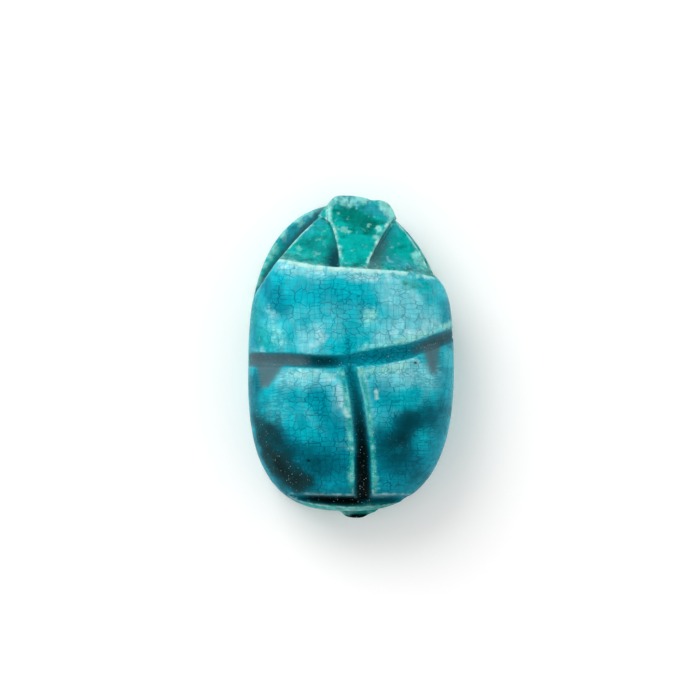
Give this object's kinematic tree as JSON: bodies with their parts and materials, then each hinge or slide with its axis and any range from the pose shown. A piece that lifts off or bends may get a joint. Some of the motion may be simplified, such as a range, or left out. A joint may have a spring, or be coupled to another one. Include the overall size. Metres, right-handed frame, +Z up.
{
  "type": "scarab amulet",
  "caption": "Beetle-shaped amulet of turquoise crackle-glazed ceramic, lying on an oval plinth rim and pierced lengthwise for a cord.",
  "frame": {"origin": "middle of the flat underside, below the middle of the amulet's outline", "axes": "+Y towards the beetle's head, +X to its right seen from above, +Z up out of its back"},
  "size_m": [0.0188, 0.0294, 0.0106],
  "materials": {
    "turquoise_glaze": "glossy turquoise glaze with a fine dark crackle, pale where it is thin on the edges and dark where it pools in the carved lines"
  },
  "bodies": {
    "root": {"scarab": "turquoise_glaze"}
  },
  "joints": []
}
